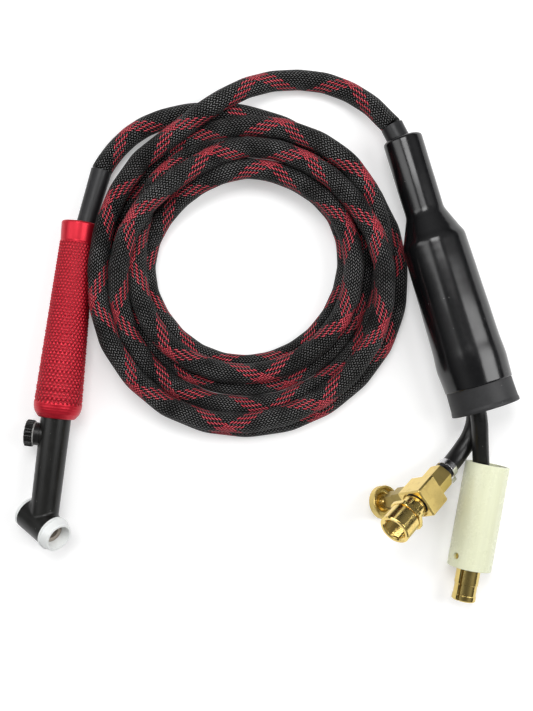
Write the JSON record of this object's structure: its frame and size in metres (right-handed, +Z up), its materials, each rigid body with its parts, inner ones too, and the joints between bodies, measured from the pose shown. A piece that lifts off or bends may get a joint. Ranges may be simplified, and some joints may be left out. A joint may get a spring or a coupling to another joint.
{
  "type": "TIG torch",
  "caption": "TIG welding torch with knurled grip, gas valve knob, coiled braided cable, junction sleeve, insulated power pin and gas shut-off valve.",
  "frame": {"origin": "on the floor under the middle of the rigid pieces (all but the braided cable)", "axes": "+Z up; +Y from the shut-off valve and pin towards the top of the cable coil; +X from the torch towards the junction sleeve"},
  "size_m": [0.3484, 0.3719, 0.0704],
  "materials": {
    "grip_red": "satin, knurled",
    "moulding_black": "satin",
    "insulator_white": "satin",
    "gasket_white": "satin",
    "brass": "machined",
    "copper": "drawn",
    "steel": "brushed",
    "knob_black": "satin",
    "seal_black": "matt",
    "boot_grey": "satin",
    "braid": "woven, black with red tracer",
    "sleeve_black": "gloss",
    "cap_black": "satin",
    "hose_black": "satin",
    "former_grey": "matt",
    "sleeve_green": "satin"
  },
  "bodies": {
    "torch_set": {"grip": "grip_red", "torch_moulding": "moulding_black", "neck_tube": "copper", "head_core": "brass", "back_gasket": "gasket_white", "front_insulator": "insulator_white", "gas_valve_seat": "brass", "cable_boot": "boot_grey", "cable_core": "hose_black", "cable_union": "brass", "neck_fitting": "brass", "cable_torch_lead": "braid", "cable_coil": "braid", "cable_junction_lead": "braid", "entry_collar": "boot_grey", "entry_bush": "seal_black", "junction_sleeve": "sleeve_black", "junction_former": "former_grey", "cable_splice": "hose_black", "junction_block": "brass", "block_barb": "brass", "end_cap": "cap_black", "gas_hose": "hose_black", "power_lead": "hose_black", "lead_conductors": "copper", "hose_clamp": "steel", "inlet_nipple": "brass", "valve_block": "brass", "stem_bonnet": "brass", "gland_nut": "brass", "swivel_seal": "seal_black", "pin_insulator": "sleeve_green", "power_pin": "brass", "set_screws": "steel", "insulator_screw": "brass"},
    "torch_valve_ring": {"gas_valve_oring": "seal_black"},
    "torch_valve_knob": {"gas_valve_knob": "knob_black", "gas_valve_stem": "brass", "knob_screw": "steel"},
    "shut_off_ring": {"stem_packing": "seal_black"},
    "shut_off_wheel": {"handwheel": "brass", "shut_off_stem": "brass", "handwheel_nut": "brass"},
    "outlet_swivel": {"outlet_coupling": "brass"}
  },
  "joints": [
    {"name": "torch_valve_travel", "type": "slide", "parent": "torch_set", "child": "torch_valve_ring", "axis": [-0.9934, 0.1151, 0], "range_m": [0, 0.00156]},
    {"name": "torch_valve_turn", "type": "hinge", "parent": "torch_valve_ring", "child": "torch_valve_knob", "pos_m": [-0.15932, -0.04971, 0.01738], "axis": [-0.9934, 0.1151, 0], "range_deg": [0, 450]},
    {"name": "shut_off_travel", "type": "slide", "parent": "torch_set", "child": "shut_off_ring", "axis": [-0.5813, -0.2037, -0.7878], "range_m": [-0.00313, 0]},
    {"name": "shut_off_turn", "type": "hinge", "parent": "shut_off_ring", "child": "shut_off_wheel", "pos_m": [0.08657, -0.09793, 0.01234], "axis": [-0.5813, -0.2037, -0.7878], "range_deg": [-900, 0]},
    {"name": "outlet_swivel_turn", "type": "hinge", "parent": "torch_set", "child": "outlet_swivel", "pos_m": [0.10185, -0.09551, 0.04614], "axis": [-0.6106, -0.5308, 0.5878], "continuous": true}
  ],
  "couplings": [
    {"joint": "torch_valve_turn", "follows": "torch_valve_travel", "rad_per_m": 5026.5},
    {"joint": "shut_off_turn", "follows": "shut_off_travel", "rad_per_m": 5026.5}
  ]
}
